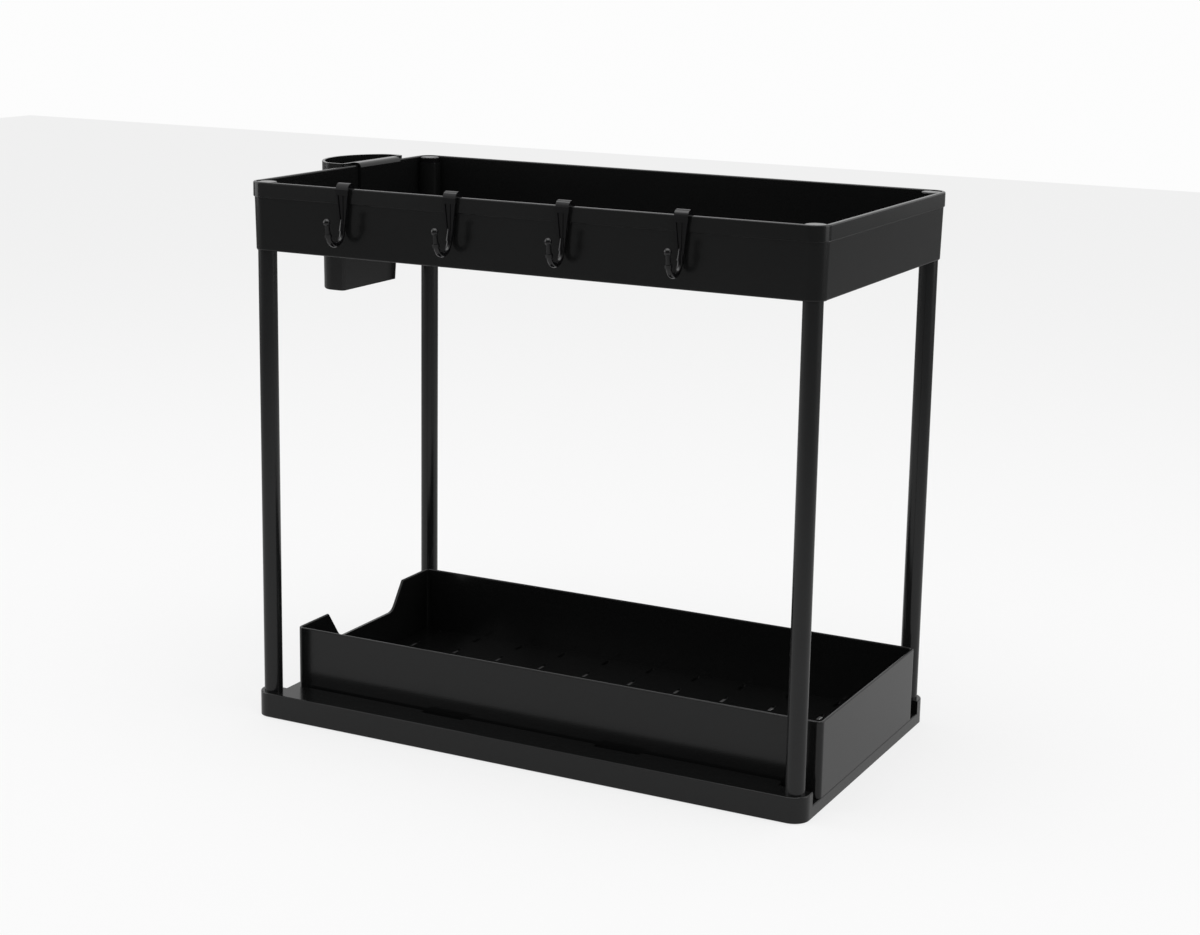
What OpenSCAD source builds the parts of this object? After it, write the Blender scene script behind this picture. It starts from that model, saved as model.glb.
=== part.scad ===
// Two-tier under-sink organizer: an open tray on four posts above a long drawer
// that slides out of a low base frame, with four hooks on the tray's front rim
// and a cup that hangs from its left end. Millimetres, +Z up, the long front
// towards -Y. The origin is on the floor, under the middle of the whole object's
// box, so the cup and the hooks push it off the frame's own middle.

/* [Overall] */
// Length over the tray's rim and the base frame
unit_l = 389.6; // [340:0.2:450]
// Width over the tray's rim and the base frame
unit_w = 214.8; // [180:0.2:260]
// Height of the tray's rim above the floor
unit_h = 352.8; // [260:0.2:460]
// Radius of the tray's and the frame's vertical corners
corner_r = 10.4; // [9:0.2:12]

/* [Tray] */
// Height of the tray's wall
tray_h = 43.3; // [36:0.1:70]
// Height of the band along the tray's rim
band_h = 9.6; // [6:0.1:14]
// Distance that the band stands out from the wall below it
band_step = 0.8; // [0.4:0.1:1.4]
// Distance that the wall leans in from the band to the tray's underside
tray_draft = 0.7; // [0:0.1:1.5]
// Width of the rim across its top
rim_t = 3; // [2.4:0.1:4]
// Thickness of the tray's and the drawer's floor
floor_t = 2; // [1.5:0.1:3]
// Height of the ribs under the tray's and the drawer's floor
rib_h = 2.2; // [1.5:0.1:4]
// Thickness of the ribs under the floors and inside the frame
rib_t = 1.6; // [1.2:0.1:2.4]

/* [Posts] */
// Outer diameter of a post
post_d = 12; // [10:0.5:12]
// Wall of the post's tube
post_wall = 1; // [0.8:0.1:1.5]
// Distance from the unit's sides to a post's middle
post_inset = 9; // [8.8:0.1:10]
// Running clearance of a post in its sockets, on the radius
post_fit = 0.05; // [0.02:0.01:0.1]
// Wall of the tray's column round a post
column_wall = 1.6; // [1.2:0.1:2.4]
// Depth of the shoulder that sits on a post's end
shoulder_t = 2; // [1.5:0.1:3]
// Length of the frame's spigot inside a post
spigot_l = 14; // [8:1:25]

/* [Caps] */
// Diameter of a cap's head
cap_d = 13; // [12:0.1:15]
// Height of a cap's head
cap_h = 4; // [3:0.1:6]
// Distance from a cap's top to the tray's rim
cap_drop = 0.4; // [0:0.1:1.5]
// Length of the plug that a cap pushes into its post
plug_l = 12; // [8:0.5:20]

/* [Base frame] */
// Height of the frame's rails
rail_h = 16.2; // [14:0.2:22]
// Width of a rail over its flat top
rail_w = 22.8; // [21:0.2:28]
// Thickness of the frame's walls and tops
rail_t = 2.5; // [2:0.1:3]
// Height of the ledges and the end sills that the drawer slides on
sill_h = 7.5; // [6:0.1:9]
// Width of an end sill
sill_w = 13; // [12:0.5:18]
// Distance that a rail's lip reaches over the drawer's lugs
lip = 3.8; // [3:0.1:5]
// Width of the ledge that the drawer's edge slides on
ledge_w = 13; // [9:0.5:18]
// Width of the block that holds a post
block_w = 15; // [14.8:0.1:16]
// Length of a notch in a rail's lip
notch_l = 31; // [27:0.5:40]
// Distance between the two notches of a rail
notch_pitch = 125; // [90:1:160]

/* [Drawer] */
// Height of the drawer
drawer_h = 48.2; // [40:0.2:90]
// Thickness of the drawer's walls
drawer_wall = 1.8; // [1.4:0.1:2.4]
// Radius of the drawer's vertical corners
drawer_r = 4; // [3:0.1:9]
// Gap between the drawer's sides and the rails
drawer_gap = 2.5; // [1.5:0.1:3]
// Clearance under the drawer
slide_gap = 0.3; // [0.2:0.05:0.6]
// Distance from the frame's left end to the drawer's
setback = 16.8; // [12:0.2:19]
// Distance that the drawer slides out
travel = 260; // [180:5:280]
// Length of a lug on the drawer's sides
lug_l = 24; // [16:0.5:25]
// Thickness of a lug
lug_t = 3; // [2:0.1:3.5]
// Width of the hand cut-out at the drawer's top edge
pull_w = 95; // [60:1:120]
// Width of the hand cut-out at its bottom
pull_floor_w = 67; // [40:1:80]
// Depth of the hand cut-out
pull_d = 19.8; // [12:0.2:26]
// Radius of the hand cut-out's lower corners
pull_r = 9; // [4:0.5:12]

/* [Drain slots] */
// Distance between slots along the unit
slot_pitch_x = 34.4; // [24:0.2:50]
// Distance between rows of slots across the unit
slot_pitch_y = 28.7; // [22:0.1:40]
// Length of a slot
slot_l = 12; // [8:0.5:16]
// Width of a slot
slot_w = 2.2; // [1.6:0.1:3]

/* [Hooks] */
// Distance between hooks
hook_pitch = 76.6; // [50:0.2:90]
// Shift of the row of hooks from the unit's middle
hook_shift = -6.9; // [-20:0.1:20]
// Width of a hook where it sits over the rim
hook_top_w = 8.8; // [6:0.1:11]
// Width of a hook at the foot of its shank
hook_low_w = 3.4; // [3:0.1:5]
// Thickness of a hook's shank
hook_t = 2.2; // [1.8:0.1:2.6]
// Thickness of a hook's saddle above the rim
saddle_t = 3.4; // [2.4:0.1:4]
// Length of a hook's leg inside the rim
leg_l = 9; // [6:0.5:14]
// Distance from the rim's top down to the middle of the hook's bend
bend_drop = 25.8; // [20:0.2:28]
// Radius of the hook's bend along its middle
bend_r = 7.8; // [6:0.1:12]
// Diameter of the hook's rod
rod_d = 3.4; // [3:0.1:4]
// Length of the hook's tip above the middle of its bend
tip_l = 8.4; // [6:0.1:10]
// Diameter of the ball on the hook's tip
ball_d = 4.6; // [4:0.1:6]
// Clearance between the rim and what hangs on it
hang_gap = 0.4; // [0.3:0.05:0.6]

/* [Cup] */
// Width of the cup along the tray's end
cup_w = 76; // [56:1:100]
// Depth of the cup out from the tray's end
cup_d = 33; // [24:0.5:45]
// Height of the cup
cup_h = 87; // [60:1:110]
// Thickness of the cup's wall and floor
cup_wall = 1.8; // [1.4:0.1:2.4]
// Distance from the unit's middle to the cup's middle, towards the back
cup_y = 40.8; // [0:0.1:42]
// Distance that each end of the cup leans in towards its foot
cup_taper = 4; // [0:0.1:6]
// Width of the cup's clip
clip_w = 50; // [30:1:60]
// Thickness of the cup's clip
clip_t = 1.7; // [1.4:0.1:2.4]
// Length of the clip's flap inside the tray
flap_l = 24; // [12:0.5:30]

/* [Hidden] */
$fn = 48;

charcoal = "#2c2d2d";
black = "#1c1d1e";
gloss_black = "#131415";

// Rounding of the moulded edges
edge_r = 0.8;
// Gap round a cap's head in the tray's corner
cap_gap = 0.15;
// Pockets under each rail
rail_cells = 6;
// Thickness of a hook's leg inside the rim
back_leg_t = 1.8;
// Depth of the grooves down a hook's shank
groove = 0.7;
// Lean of a hook's tip, in degrees
tip_lean = 10;
// Height of the collar at the foot of a hook's tip
bead_h = 2;
// Corners of the cup's plan, and the flat between them at each end
cup_inner_r = 3;
cup_outer_r = 11;
cup_facet = 7;

// Middles of the posts
post_x = unit_l / 2 - post_inset;
post_y = unit_w / 2 - post_inset;
post_r = post_d / 2;
socket_r = post_r + post_fit;
column_r = post_r + column_wall;
bore_r = post_r - post_wall;

// Heights, from the floor up
tray_z = unit_h - tray_h;
tray_floor_z = rib_h + floor_t;
cap_top = unit_h - cap_drop;
column_top = cap_top - cap_h;
post_top = column_top - shoulder_t;
drawer_z = sill_h + slide_gap;

// Plan of the base frame, from its middle line
lip_y = unit_w / 2 - rail_w;
web_y = lip_y + lip;
ledge_y = lip_y - (ledge_w - lip);
block_y = unit_w / 2 - block_w;
lip_x = unit_l / 2 - 22.4;

// Plan of the drawer
drawer_w = 2 * (lip_y - drawer_gap);
drawer_l = unit_l - setback;
drawer_x = setback / 2;

// Lugs on the drawer's sides, under the rails' lips
lug_clear = 0.4;
lug_reach = drawer_gap + lip - lug_clear;
lug_right = lip_x - 8;
lug_z = rail_h - rail_t - lug_clear - lug_t;
stop_l = 6;
end_gap = 0.3;
// The travel, shortened where the rails are too short for it
drawer_travel = min(travel, lug_right - lug_l - stop_l - end_gap + lip_x - 4);

// How far the hooks stand out in front, and where the frame's middle lies
hook_reach = hang_gap + rod_d / 2 + bend_r * (1 + cos(tip_lean)) + tip_l * sin(tip_lean) + ball_d / 2;
frame_x = (hang_gap + cup_d) / 2;
frame_y = hook_reach / 2;

// Puts a piece that is drawn about the frame's middle in its place
module placed() {
    translate([frame_x, frame_y, 0])
    children();
}

// Arc of points for a profile, from angle a to angle b
function arc(x, y, r, a, b, n = 5) =
    [for (i = [0:n]) let (t = a + (b - a) * i / n) [x + r * cos(t), y + r * sin(t)]];

module rounded_plate(l, w, r, h) {
    linear_extrude(h)
    union() {
        square([l - 2 * r, w], center = true);
        square([l, w - 2 * r], center = true);
        for (x = [-1, 1])
            for (y = [-1, 1])
                translate([x * (l / 2 - r), y * (w / 2 - r)])
                circle(r);
    }
}

// Sweeps the wall profile in children() round a rounded rectangle. The profile is
// drawn with x = 0 on the outer face, minus x inwards, and y up.
module sweep_round(l, w, r) {
    for (side = [0:3]) {
        run = (side % 2 == 0 ? l : w) - 2 * r;
        away = (side % 2 == 0 ? w : l) / 2 - r;
        rotate([0, 0, 90 * side]) {
            translate([run / 2, -away, 0])
            rotate([90, 0, -90])
            linear_extrude(run)
            translate([r, 0])
            children();
            translate([run / 2, -away, 0])
            rotate([0, 0, -90])
            rotate_extrude(angle = 90)
            translate([r, 0])
            children();
        }
    }
}

// A plate with rounded corners and a softened top edge
module soft_plate(l, w, r, h) {
    band = 4;
    rounded_plate(l - 2 * band + 2, w - 2 * band + 2, r - band + 1, h);
    sweep_round(l, w, r)
    polygon(concat(
        [[-band, 0], [0, 0]],
        arc(-edge_r, h - edge_r, edge_r, 0, 90),
        [[-band, h]]));
}

// A floor of l by w by floor_t with rows of drain slots, on ribs that reach down to z = 0
module slotted_floor(l, w, r) {
    nx = floor((l / 2 - 10) / slot_pitch_x);
    ny = floor((w / 2 - 2 - slot_l / 2) / slot_pitch_y + 0.5);
    difference() {
        translate([0, 0, rib_h])
        rounded_plate(l, w, r, floor_t);
        for (i = [-nx:nx])
            for (j = [0.5:ny - 0.5])
                for (s = [-1, 1])
                    translate([i * slot_pitch_x, s * j * slot_pitch_y, rib_h - 1])
                    slot(floor_t + 2);
    }
    for (i = [0.5:2:nx - 0.5])
        for (s = [-1, 1])
            translate([s * i * slot_pitch_x - rib_t / 2, -w / 2, 0])
            cube([rib_t, w, rib_h + 0.5]);
    for (j = [-1:1])
        translate([-l / 2, 2 * j * slot_pitch_y - rib_t / 2, 0])
        cube([l, rib_t, rib_h + 0.5]);
}

// One drain slot, centred, running across the unit
module slot(h) {
    linear_extrude(h)
    union() {
        square([slot_w, slot_l - slot_w], center = true);
        for (s = [-1, 1])
            translate([0, s * (slot_l - slot_w) / 2])
            circle(slot_w / 2, $fn = 16);
    }
}

module at_posts() {
    for (x = [-1, 1])
        for (y = [-1, 1])
            translate([x * post_x, y * post_y, 0])
            children();
}

// The tray's wall, as a profile: x = 0 is the rim's outer face, z = 0 the foot
module tray_wall_profile() {
    band_z = tray_h - band_h;
    foot_out = -band_step - tray_draft;
    polygon(concat(
        [[-rim_t - 0.4, 0], [foot_out - edge_r, 0]],
        arc(foot_out - edge_r, edge_r, edge_r, -60, 0, 3),
        [[-band_step, band_z - 0.2], [0, band_z + 0.4]],
        arc(-edge_r, tray_h - edge_r, edge_r, 0, 90),
        arc(-rim_t + edge_r, tray_h - edge_r, edge_r, 90, 180),
        [[-rim_t - 0.4, tray_floor_z]]));
}

// Columns round the posts, kept inside the tray's drafted wall
module tray_columns() {
    inset = band_step + tray_draft + 0.3;
    intersection() {
        rounded_plate(unit_l - 2 * inset, unit_w - 2 * inset, corner_r - inset, column_top - tray_z);
        at_posts()
        cylinder(h = column_top - tray_z, r = column_r);
    }
}

module top_tray() {
    inner_l = unit_l - 2 * rim_t - 0.4;
    inner_w = unit_w - 2 * rim_t - 0.4;
    color(charcoal)
    placed()
    translate([0, 0, tray_z])
    difference() {
        union() {
            sweep_round(unit_l, unit_w, corner_r)
            tray_wall_profile();
            slotted_floor(inner_l, inner_w, corner_r - rim_t - 0.2);
            tray_columns();
        }
        at_posts() {
            translate([0, 0, -1])
            cylinder(h = post_top - tray_z + 1, r = socket_r);
            cylinder(h = tray_h, r = bore_r);
            translate([0, 0, column_top - tray_z])
            cylinder(h = tray_h, r = cap_d / 2 + cap_gap);
        }
    }
}

// Posts and caps

module post(x, y) {
    color(black)
    placed()
    translate([x * post_x, y * post_y, rail_h])
    difference() {
        cylinder(h = post_top - rail_h, r = post_r);
        translate([0, 0, -1])
        cylinder(h = post_top - rail_h + 2, r = bore_r);
    }
}

module post_front_left() {
    post(-1, -1);
}

module post_front_right() {
    post(1, -1);
}

module post_back_left() {
    post(-1, 1);
}

module post_back_right() {
    post(1, 1);
}

// A round cap: a flat head with a softened edge and a plug that fits the post's bore
module cap(x, y) {
    plug_r = bore_r - post_fit;
    color(gloss_black)
    placed()
    translate([x * post_x, y * post_y, column_top])
    rotate_extrude()
    polygon(concat(
        [[0, -plug_l], [plug_r - 0.8, -plug_l], [plug_r, -plug_l + 1.2], [plug_r, 0], [cap_d / 2, 0]],
        arc(cap_d / 2 - edge_r, cap_h - edge_r, edge_r, 0, 90),
        [[0, cap_h]]));
}

module cap_front_left() {
    cap(-1, -1);
}

module cap_front_right() {
    cap(1, -1);
}

module cap_back_left() {
    cap(-1, 1);
}

module cap_back_right() {
    cap(1, 1);
}

// Base frame

// Plan of one rail with its corner blocks, on the +Y side
module rail_plan() {
    end_r = 4;
    union() {
        translate([-lip_x, lip_y + end_r])
        square([2 * lip_x, rail_w]);
        translate([-lip_x + end_r, lip_y])
        square([2 * (lip_x - end_r), rail_w]);
        for (s = [-1, 1])
            translate([s * (lip_x - end_r), lip_y + end_r])
            circle(end_r);
        translate([-unit_l / 2, block_y])
        square([unit_l, block_w]);
    }
}

// Hollow under one rail on the +Y side, with ribs left between its pockets
module rail_pockets() {
    span = 2 * (lip_x - rail_t);
    pocket = (span + rib_t) / rail_cells;
    for (i = [0:rail_cells - 1])
        translate([-span / 2 + i * pocket, web_y + rail_t, -1])
        cube([pocket - rib_t, unit_w / 2 - web_y - 2 * rail_t, rail_h - rail_t + 1]);
}

// Channel under the lip on the +Y side, from a stop at one end to a stop at the other
module lug_channel() {
    left_stop = lug_right - lug_l - drawer_travel - end_gap;
    right_stop = lug_right + end_gap;
    module run(a, b) {
        translate([a, lip_y - 1, sill_h])
        cube([b - a, lip + 1, rail_h - rail_t - sill_h]);
    }
    run(-lip_x - 1, left_stop - stop_l);
    run(left_stop, right_stop);
    run(right_stop + stop_l, lip_x + 1);
    for (s = [-1, 1])
        translate([s * notch_pitch / 2 - notch_l / 2, lip_y - 1, sill_h])
        cube([notch_l, lip + 1, rail_h]);
}

module base_frame() {
    under = sill_h - rail_t;
    spigot_r = bore_r - post_fit;
    color(charcoal)
    placed()
    difference() {
        union() {
            intersection() {
                soft_plate(unit_l, unit_w, corner_r, rail_h);
                for (s = [0, 1])
                    mirror([0, s, 0])
                    linear_extrude(rail_h)
                    rail_plan();
            }
            soft_plate(unit_l, unit_w, corner_r, sill_h);
            at_posts()
            cylinder(h = rail_h + spigot_l, r = spigot_r);
        }
        // The open middle
        translate([-unit_l / 2 + sill_w, -ledge_y, -1])
        cube([unit_l - 2 * sill_w, 2 * ledge_y, sill_h + 2]);
        for (s = [0, 1])
            mirror([0, s, 0]) {
                rail_pockets();
                lug_channel();
                // Hollow under the ledge
                translate([-unit_l / 2 + sill_w, ledge_y + rail_t, -1])
                cube([unit_l - 2 * sill_w, web_y - ledge_y - rail_t, under + 1]);
            }
        // Hollows under the end sills
        for (s = [-1, 1])
            translate([s * (unit_l / 2 - sill_w / 2) - sill_w / 2 + rail_t, -block_y + rail_t, -1])
            cube([sill_w - 2 * rail_t, 2 * (block_y - rail_t), under + 1]);
        at_posts()
        translate([0, 0, -1])
        cylinder(h = rail_h + spigot_l - rail_t, r = spigot_r - rail_t);
    }
}

// Drawer

module drawer_wall_profile() {
    polygon(concat(
        [[-drawer_wall, 0], [0, 0]],
        arc(-edge_r, drawer_h - edge_r, edge_r, 0, 90),
        arc(-drawer_wall + edge_r, drawer_h - edge_r, edge_r, 90, 180)));
}

// Outline of the hand cut-out: sloping sides and a floor with round corners
module pull_outline() {
    slope = atan2(pull_d, (pull_w - pull_floor_w) / 2);
    corner = pull_floor_w / 2 - pull_r * tan(slope / 2);
    over = 4;
    reach = pull_w / 2 + over / tan(slope);
    polygon(concat(
        arc(corner, pull_r, pull_r, -90, -90 + slope, 6),
        [[reach, pull_d + over], [-reach, pull_d + over]],
        arc(-corner, pull_r, pull_r, -90 - slope, -90, 6)));
}

// A lug with tapered ends, on the drawer's +Y side
module lug() {
    y = drawer_w / 2;
    translate([0, 0, lug_z])
    linear_extrude(lug_t)
    polygon([[lug_right - lug_l, y - drawer_wall / 2], [lug_right, y - drawer_wall / 2],
             [lug_right, y + lug_reach - 2], [lug_right - 2, y + lug_reach],
             [lug_right - lug_l + 2, y + lug_reach], [lug_right - lug_l, y + lug_reach - 2]]);
}

module drawer() {
    inner_l = drawer_l - drawer_wall;
    inner_w = drawer_w - drawer_wall;
    color(charcoal)
    placed() {
        difference() {
            translate([drawer_x, 0, drawer_z]) {
                sweep_round(drawer_l, drawer_w, drawer_r)
                drawer_wall_profile();
                slotted_floor(inner_l, inner_w, drawer_r - drawer_wall / 2);
            }
            translate([drawer_x - drawer_l / 2 - 1, 0, drawer_z + drawer_h - pull_d])
            rotate([90, 0, 90])
            linear_extrude(drawer_wall + 2)
            pull_outline();
        }
        for (s = [0, 1])
            mirror([0, s, 0])
            lug();
    }
}

// Hooks

// Outline of a hook's front leg, seen from the front: it narrows towards the bend
module shank_outline(inset) {
    top = hook_top_w / 2 - inset;
    low = max(hook_low_w / 2 - inset, 0.2);
    polygon([[-top, -1], [top, -1], [low, -bend_drop + inset], [-low, -bend_drop + inset]]);
}

// Side profile of the saddle that sits over the rim: y = 0 is the rim's outer face
module saddle_profile() {
    back = rim_t + hang_gap;
    out = hang_gap + hook_t;
    arch_r = (back + back_leg_t + out) / 2;
    arch_y = (back + back_leg_t - out) / 2;
    arch_z = saddle_t - arch_r;
    polygon(concat(
        [[-hang_gap, 0], [back, 0], [back, -leg_l], [back + back_leg_t * 0.6, -leg_l - 0.6],
         [back + back_leg_t, -leg_l + 1]],
        arc(arch_y, arch_z, arch_r, 0, 180, 16),
        [[-out, -4], [-hang_gap, -4]]));
}

// The round rod of a hook: a bend, then a short tip that leans out, with two beads
module hook_rod() {
    sweep = 180 - tip_lean;
    rod_y = -hang_gap - rod_d / 2;
    collar_r = rod_d / 2 + 0.3;
    translate([0, -hang_gap - collar_r, -bend_drop])
    cylinder(h = 7, r1 = collar_r, r2 = rod_d / 4, $fn = 24);
    translate([0, rod_y - bend_r, -bend_drop])
    rotate([90, 0, 90])
    rotate([0, 0, -sweep]) {
        rotate_extrude(angle = sweep + 8, $fn = 64)
        translate([bend_r, 0])
        circle(rod_d / 2, $fn = 20);
        translate([bend_r, 0, 0])
        rotate([90, 0, 0]) {
            cylinder(h = tip_l, r1 = rod_d / 2, r2 = rod_d * 0.42, $fn = 20);
            translate([0, 0, tip_l])
            sphere(ball_d / 2, $fn = 20);
            translate([0, 0, -bead_h / 2])
            cylinder(h = bead_h, r = ball_d / 2, $fn = 20);
        }
    }
}

// One hook, hung on the front rim, counted from the left
module hook(n) {
    color(gloss_black)
    placed()
    translate([hook_shift + (n - 2.5) * hook_pitch, -unit_w / 2, unit_h]) {
        translate([-hook_top_w / 2, 0, 0])
        rotate([90, 0, 90])
        linear_extrude(hook_top_w)
        saddle_profile();
        translate([0, -hang_gap, 0])
        rotate([90, 0, 0]) {
            linear_extrude(hook_t - groove)
            shank_outline(0);
            linear_extrude(hook_t)
            difference() {
                shank_outline(0);
                shank_outline(1);
            }
            linear_extrude(hook_t - groove / 3)
            translate([-0.5, -bend_drop])
            square([1, bend_drop - 1]);
        }
        hook_rod();
    }
}

module hook_1() {
    hook(1);
}

module hook_2() {
    hook(2);
}

module hook_3() {
    hook(3);
}

module hook_4() {
    hook(4);
}

// Cup

// Plan of the cup, flat side on x = 0: two small corners, two larger ones and one
// long curve that meets them. The inset moves the whole outline in by that much.
module cup_plan(inset) {
    half = cup_w / 2;
    side = cup_inner_r + cup_facet;
    mid_y = half - cup_outer_r;
    free = cup_d - side;
    big_r = (pow(free, 2) + pow(mid_y, 2) - pow(cup_outer_r, 2)) / (2 * (free - cup_outer_r));
    big_x = big_r - cup_d;
    turn = atan2(mid_y, -side - big_x);
    polygon(concat(
        arc(-cup_inner_r, half - cup_inner_r, cup_inner_r - inset, 0, 90, 3),
        arc(-side, mid_y, cup_outer_r - inset, 90, turn, 6),
        arc(big_x, 0, big_r - inset, turn, 360 - turn, 20),
        arc(-side, -mid_y, cup_outer_r - inset, 360 - turn, 270, 6),
        arc(-cup_inner_r, -half + cup_inner_r, cup_inner_r - inset, 270, 360, 3)));
}

// The cup's form up to height h: it narrows downwards about the middle of its round side
module cup_form(inset, z, h) {
    low = 1 - cup_taper / (cup_w / 2);
    at_z = low + (1 - low) * z / cup_h;
    at_h = low + (1 - low) * h / cup_h;
    translate([-cup_d, 0, z])
    linear_extrude(h - z, scale = at_h / at_z)
    scale(at_z)
    translate([cup_d, 0])
    cup_plan(inset);
}

// Side profile of the clip over the tray's end: x = 0 is the rim's outer face
module clip_profile() {
    back = rim_t + hang_gap;
    bend = 3;
    polygon(concat(
        [[-hang_gap - cup_wall, -clip_t], [-hang_gap, -clip_t], [-hang_gap, 0], [back, 0],
         [back, -flap_l + 0.6], [back + 0.6, -flap_l], [back + clip_t, -flap_l]],
        arc(back + clip_t - bend, clip_t - bend, bend, 0, 90),
        [[-hang_gap - cup_wall, clip_t]]));
}

module hanging_cup() {
    color(gloss_black)
    placed() {
        translate([-unit_l / 2 - hang_gap, cup_y, unit_h + clip_t - cup_h])
        difference() {
            cup_form(0, 0, cup_h);
            cup_form(cup_wall, cup_wall, cup_h + 1);
        }
        translate([-unit_l / 2, cup_y + clip_w / 2, unit_h])
        rotate([90, 0, 0])
        linear_extrude(clip_w)
        clip_profile();
    }
}

base_frame();
drawer();
top_tray();
post_front_left();
post_front_right();
post_back_left();
post_back_right();
cap_front_left();
cap_front_right();
cap_back_left();
cap_back_right();
hook_1();
hook_2();
hook_3();
hook_4();
hanging_cup();
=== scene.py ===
import math

import bpy
from mathutils import Matrix, Vector


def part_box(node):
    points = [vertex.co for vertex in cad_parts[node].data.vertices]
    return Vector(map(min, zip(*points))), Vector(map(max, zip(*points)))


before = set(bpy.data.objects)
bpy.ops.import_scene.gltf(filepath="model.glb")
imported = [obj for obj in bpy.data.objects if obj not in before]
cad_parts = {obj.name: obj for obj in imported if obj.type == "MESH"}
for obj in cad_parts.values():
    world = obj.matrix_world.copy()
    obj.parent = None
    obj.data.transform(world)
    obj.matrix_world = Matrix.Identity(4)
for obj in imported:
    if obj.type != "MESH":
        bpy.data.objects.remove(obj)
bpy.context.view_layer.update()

# An under-sink organizer in black moulded plastic, on a white studio floor. The
# CAD nodes stay as they are and get procedural materials here. Metres, in the
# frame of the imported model.

# Places read from the frame
frame_low, frame_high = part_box("base_frame")
MIDDLE = Vector(((frame_low.x + frame_high.x) / 2, (frame_low.y + frame_high.y) / 2, 0))

# Camera, solved from the photograph, about the base frame's middle
CAMERA_FROM_MIDDLE = Vector((0.64695, -1.26662, 0.50942))
YAW, PITCH, ROLL = (math.radians(angle) for angle in (26.904, 12.126, 0.993))
PHOTO_WIDTH = 1200
FOCAL_PIXELS = 2252.5
# The photograph's optical centre, in pixels right of and above its middle
CENTRE_RIGHT, CENTRE_UP = 2.14, 51.15
SENSOR_MM = 36
CLIP_NEAR, CLIP_FAR = 0.01, 50

# Light
WHITE = (1.0, 1.0, 1.0, 1.0)
# What the background and the floor show to the camera, 1 being white
BACKDROP = 0.98
# How bright the sky is as a light
SKY_LIGHT = 0.62
# Reflected surroundings: white walls, and the dark side that the camera stands on
WALLS = 0.72
DARK_SIDE = 0.05
# Where the dark side's middle is, in degrees from -Y towards +X, and its edges
DARK_AZIMUTH = 27
DARK_INNER, DARK_OUTER = 44, 66
# The reflected ceiling, and the upward parts of a direction between which it closes
CEILING = 0.9
CEILING_LOW, CEILING_HIGH = 0.35, 0.8
# Keeps the direction straight up from dividing by zero
LEAST_LENGTH = 0.0001
# Each lamp's name, place and aim about the middle, size, and power in watts
LAMPS = (
    ("top_softbox", (0.1, -0.2, 1.6), (0, 0, 0.1), (1.6, 1.2), 12),
    ("left_softbox", (-1.5, -0.5, 0.7), (0, 0, 0.2), (0.9, 1.2), 5),
    ("right_softbox", (1.6, 0.5, 0.7), (0, 0, 0.2), (0.9, 1.2), 5),
)

# Floor
FLOOR_SIZE = 7.0
FLOOR_DROP = 0.0005
FLOOR_COLOUR = (0.86, 0.86, 0.86, 1.0)
# The part of what the camera sees of the floor that takes the object's shadow
SHADOW_SHARE = 0.25
# The floor's reflected brightness, and the distances between which it fades
FLOOR_GLOW = 0.55
GLOW_NEAR, GLOW_FAR = 0.5, 1.5

# Plastic: how fast its gloss varies and by what share, and its fine grain
GLOSS_SCALE = 14.0
GLOSS_SPREAD = 0.12
NOISE_LOW, NOISE_HIGH = 0.3, 0.7
GRAIN_SIZE = 0.0004
GRAIN_HEIGHT = 0.00005
GRAIN_STRENGTH = 0.02
BLACK = (0.0062, 0.0064, 0.0064)
TUBE_BLACK = (0.008, 0.0083, 0.0085)
GLOSS_BLACK = (0.0045, 0.0045, 0.0048)


def make_camera():
    data = bpy.data.cameras.new("camera")
    camera = bpy.data.objects.new("camera", data)
    bpy.context.scene.collection.objects.link(camera)
    forward = Vector((
        -math.sin(YAW) * math.cos(PITCH),
        math.cos(YAW) * math.cos(PITCH),
        -math.sin(PITCH),
    ))
    level = Vector((math.cos(YAW), math.sin(YAW), 0))
    lift = level.cross(forward)
    right = math.cos(ROLL) * level + math.sin(ROLL) * lift
    up = math.cos(ROLL) * lift - math.sin(ROLL) * level
    turn = Matrix((right, up, -forward)).transposed().to_4x4()
    camera.matrix_world = Matrix.Translation(MIDDLE + CAMERA_FROM_MIDDLE) @ turn
    data.sensor_fit = "HORIZONTAL"
    data.sensor_width = SENSOR_MM
    data.lens = FOCAL_PIXELS / PHOTO_WIDTH * SENSOR_MM
    data.shift_x = -CENTRE_RIGHT / PHOTO_WIDTH
    data.shift_y = -CENTRE_UP / PHOTO_WIDTH
    data.clip_start = CLIP_NEAR
    data.clip_end = CLIP_FAR
    bpy.context.scene.camera = camera


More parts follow.
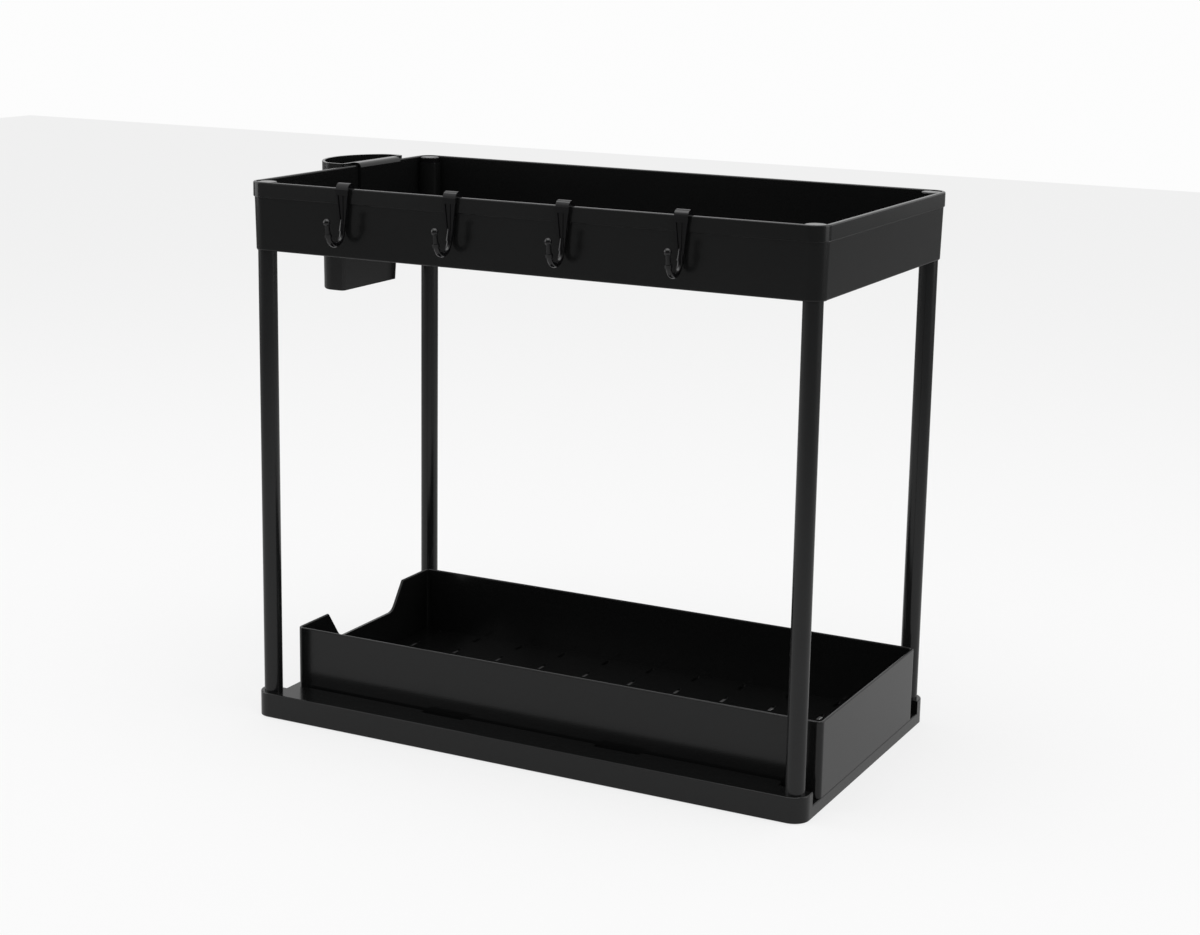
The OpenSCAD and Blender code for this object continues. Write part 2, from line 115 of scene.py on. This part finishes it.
class Nodes:
    """Short calls for building one node tree."""

    def __init__(self, tree):
        self.tree = tree
        tree.nodes.clear()

    def add(self, kind, **inputs):
        node = self.tree.nodes.new(kind)
        for name, value in inputs.items():
            self.put(node, name.replace("_", " "), value)
        return node

    def put(self, node, name, value):
        socket = node.inputs[int(name)] if name.isdigit() else node.inputs[name]
        if isinstance(value, bpy.types.NodeSocket):
            self.tree.links.new(value, socket)
        else:
            socket.default_value = value

    def maths(self, operation, a, b=0.0):
        node = self.tree.nodes.new("ShaderNodeMath")
        node.operation = operation
        self.put(node, "0", a)
        self.put(node, "1", b)
        return node.outputs[0]

    def share(self, part, inside, outside):
        """inside where part is 1, outside where it is 0, and between them between."""
        rest = self.maths("SUBTRACT", 1.0, part)
        return self.maths("ADD", self.maths("MULTIPLY", part, inside), self.maths("MULTIPLY", rest, outside))

    def fade(self, value, low, high, to_low, to_high):
        """value from low..high mapped smoothly to to_low..to_high."""
        node = self.tree.nodes.new("ShaderNodeMapRange")
        node.interpolation_type = "SMOOTHSTEP"
        for name, number in (
            ("Value", value),
            ("From Min", low),
            ("From Max", high),
            ("To Min", to_low),
            ("To Max", to_high),
        ):
            self.put(node, name, number)
        return node.outputs["Result"]

    def seen_rays(self):
        """Two sockets: 1 on camera, glossy and transmission rays, and 1 on glossy rays."""
        path = self.tree.nodes.new("ShaderNodeLightPath")
        total = self.maths("ADD", path.outputs["Is Camera Ray"], path.outputs["Is Glossy Ray"])
        total = self.maths("ADD", total, path.outputs["Is Transmission Ray"])
        return self.maths("MINIMUM", total, 1.0), path.outputs["Is Glossy Ray"]


def make_world():
    world = bpy.data.worlds.new("studio")
    bpy.context.scene.world = world
    world.use_nodes = True
    n = Nodes(world.node_tree)
    seen, glossy = n.seen_rays()
    place = n.add("ShaderNodeTexCoord").outputs["Generated"]
    split = n.add("ShaderNodeSeparateXYZ", Vector=place)
    x, y = split.outputs["X"], split.outputs["Y"]
    # How far a direction is from the dark side's middle, as the cosine of the angle
    middle = math.radians(DARK_AZIMUTH)
    along_x = n.maths("MULTIPLY", x, math.sin(middle))
    along_y = n.maths("MULTIPLY", y, -math.cos(middle))
    along = n.maths("ADD", along_x, along_y)
    length = n.maths("SQRT", n.maths("ADD", n.maths("MULTIPLY", x, x), n.maths("MULTIPLY", y, y)))
    cosine = n.maths("DIVIDE", along, n.maths("MAXIMUM", length, LEAST_LENGTH))
    outer, inner = (math.cos(math.radians(edge)) for edge in (DARK_OUTER, DARK_INNER))
    walls = n.fade(cosine, outer, inner, WALLS, DARK_SIDE)
    # Higher up, the soft ceiling closes over the dark side
    up = n.fade(split.outputs["Z"], CEILING_LOW, CEILING_HIGH, 0.0, 1.0)
    reflected = n.share(up, CEILING, walls)
    strength = n.share(seen, n.share(glossy, reflected, BACKDROP), SKY_LIGHT)
    background = n.add("ShaderNodeBackground", Color=WHITE, Strength=strength)
    n.add("ShaderNodeOutputWorld", Surface=background.outputs[0])


def floor_material():
    material = bpy.data.materials.new("white_floor")
    material.use_nodes = True
    n = Nodes(material.node_tree)
    seen, glossy = n.seen_rays()
    white = n.add("ShaderNodeBsdfDiffuse", Color=FLOOR_COLOUR)
    away = n.tree.nodes.new("ShaderNodeVectorMath")
    away.operation = "LENGTH"
    n.put(away, "0", n.add("ShaderNodeNewGeometry").outputs["Position"])
    glow = n.fade(away.outputs["Value"], GLOW_NEAR, GLOW_FAR, FLOOR_GLOW, DARK_SIDE)
    light = n.add("ShaderNodeEmission", Color=WHITE, Strength=n.share(glossy, glow, BACKDROP))
    mix = n.add("ShaderNodeMixShader", Fac=n.maths("MULTIPLY", seen, 1 - SHADOW_SHARE))
    n.put(mix, "1", white.outputs[0])
    n.put(mix, "2", light.outputs[0])
    n.add("ShaderNodeOutputMaterial", Surface=mix.outputs[0])
    return material


def make_floor():
    half = FLOOR_SIZE / 2
    corners = [(-half, -half, 0), (half, -half, 0), (half, half, 0), (-half, half, 0)]
    mesh = bpy.data.meshes.new("floor")
    mesh.from_pydata(corners, [], [(0, 1, 2, 3)])
    mesh.materials.append(floor_material())
    floor = bpy.data.objects.new("floor", mesh)
    floor.location = (0, 0, -FLOOR_DROP)
    bpy.context.scene.collection.objects.link(floor)


def add_lamp(name, place, aim, size, watts):
    data = bpy.data.lights.new(name, "AREA")
    data.shape = "RECTANGLE"
    data.size, data.size_y = size
    data.energy = watts
    lamp = bpy.data.objects.new(name, data)
    bpy.context.scene.collection.objects.link(lamp)
    lamp.location = MIDDLE + Vector(place)
    direction = MIDDLE + Vector(aim) - lamp.location
    lamp.rotation_euler = direction.to_track_quat("-Z", "Y").to_euler()
    lamp.visible_camera = False


def plastic(name, colour, roughness, ior):
    """Moulded plastic: a faint grain in its surface and a slow change in its gloss."""
    material = bpy.data.materials.new(name)
    material.use_nodes = True
    n = Nodes(material.node_tree)
    place = n.add("ShaderNodeTexCoord").outputs["Object"]
    slow = n.add("ShaderNodeTexNoise", Vector=place, Scale=GLOSS_SCALE, Detail=3.0).outputs[0]
    least, most = roughness * (1 - GLOSS_SPREAD), roughness * (1 + GLOSS_SPREAD)
    gloss = n.fade(slow, NOISE_LOW, NOISE_HIGH, least, most)
    fine = n.add("ShaderNodeTexNoise", Vector=place, Scale=1 / GRAIN_SIZE, Detail=2.0).outputs[0]
    bump = n.add("ShaderNodeBump", Height=fine, Distance=GRAIN_HEIGHT, Strength=GRAIN_STRENGTH)
    shader = n.add("ShaderNodeBsdfPrincipled", Roughness=gloss, Normal=bump.outputs[0])
    shader.inputs["Base Color"].default_value = (*colour, 1)
    shader.inputs["IOR"].default_value = ior
    n.add("ShaderNodeOutputMaterial", Surface=shader.outputs[0])
    return material


MATERIALS = {
    "body": plastic("satin_black_plastic", BLACK, 0.17, 1.42),
    "post": plastic("black_tube", TUBE_BLACK, 0.2, 1.45),
    "trim": plastic("gloss_black_plastic", GLOSS_BLACK, 0.1, 1.46),
    "cup": plastic("cup_black_plastic", BLACK, 0.15, 1.45),
}


def material_of(node):
    if node.startswith("post"):
        return MATERIALS["post"]
    if node.startswith(("cap", "hook")):
        return MATERIALS["trim"]
    if node == "hanging_cup":
        return MATERIALS["cup"]
    return MATERIALS["body"]


def dress_nodes():
    for name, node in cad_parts.items():
        node.data.materials.clear()
        node.data.materials.append(material_of(name))


bpy.context.scene.view_settings.view_transform = "Standard"
make_camera()
make_world()
make_floor()
for lamp_row in LAMPS:
    add_lamp(*lamp_row)
dress_nodes()
